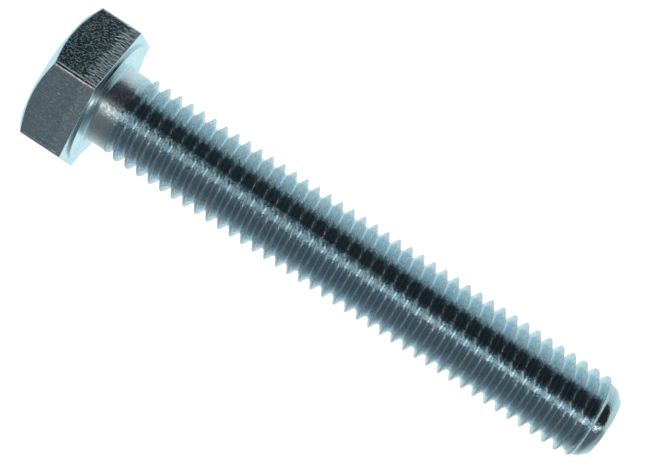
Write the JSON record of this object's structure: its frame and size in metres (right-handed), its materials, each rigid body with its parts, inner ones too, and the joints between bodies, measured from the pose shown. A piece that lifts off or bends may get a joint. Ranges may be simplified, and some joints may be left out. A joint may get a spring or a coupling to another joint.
{
  "type": "hex bolt",
  "caption": "Fully threaded hexagon head bolt with a chamfered head, a thin washer face, a short plain neck and a coned tip; it clamps parts together through a hole.",
  "frame": {"origin": "centre of the head's flat top face, on the bolt's axis, with the bolt standing on its head", "axes": "+Z along the bolt's axis from the head towards the threaded tip; +X out of one of the six wrench flats; a corner of the hexagon points along -Y"},
  "size_m": [0.016, 0.0184, 0.0705],
  "materials": {
    "zinc_plate": "bright blue-passivated zinc plating over cold-forged and thread-rolled steel, semi-gloss, with fine forging grain on the head's flats"
  },
  "bodies": {
    "root": {"hex_bolt": "zinc_plate"}
  },
  "joints": []
}
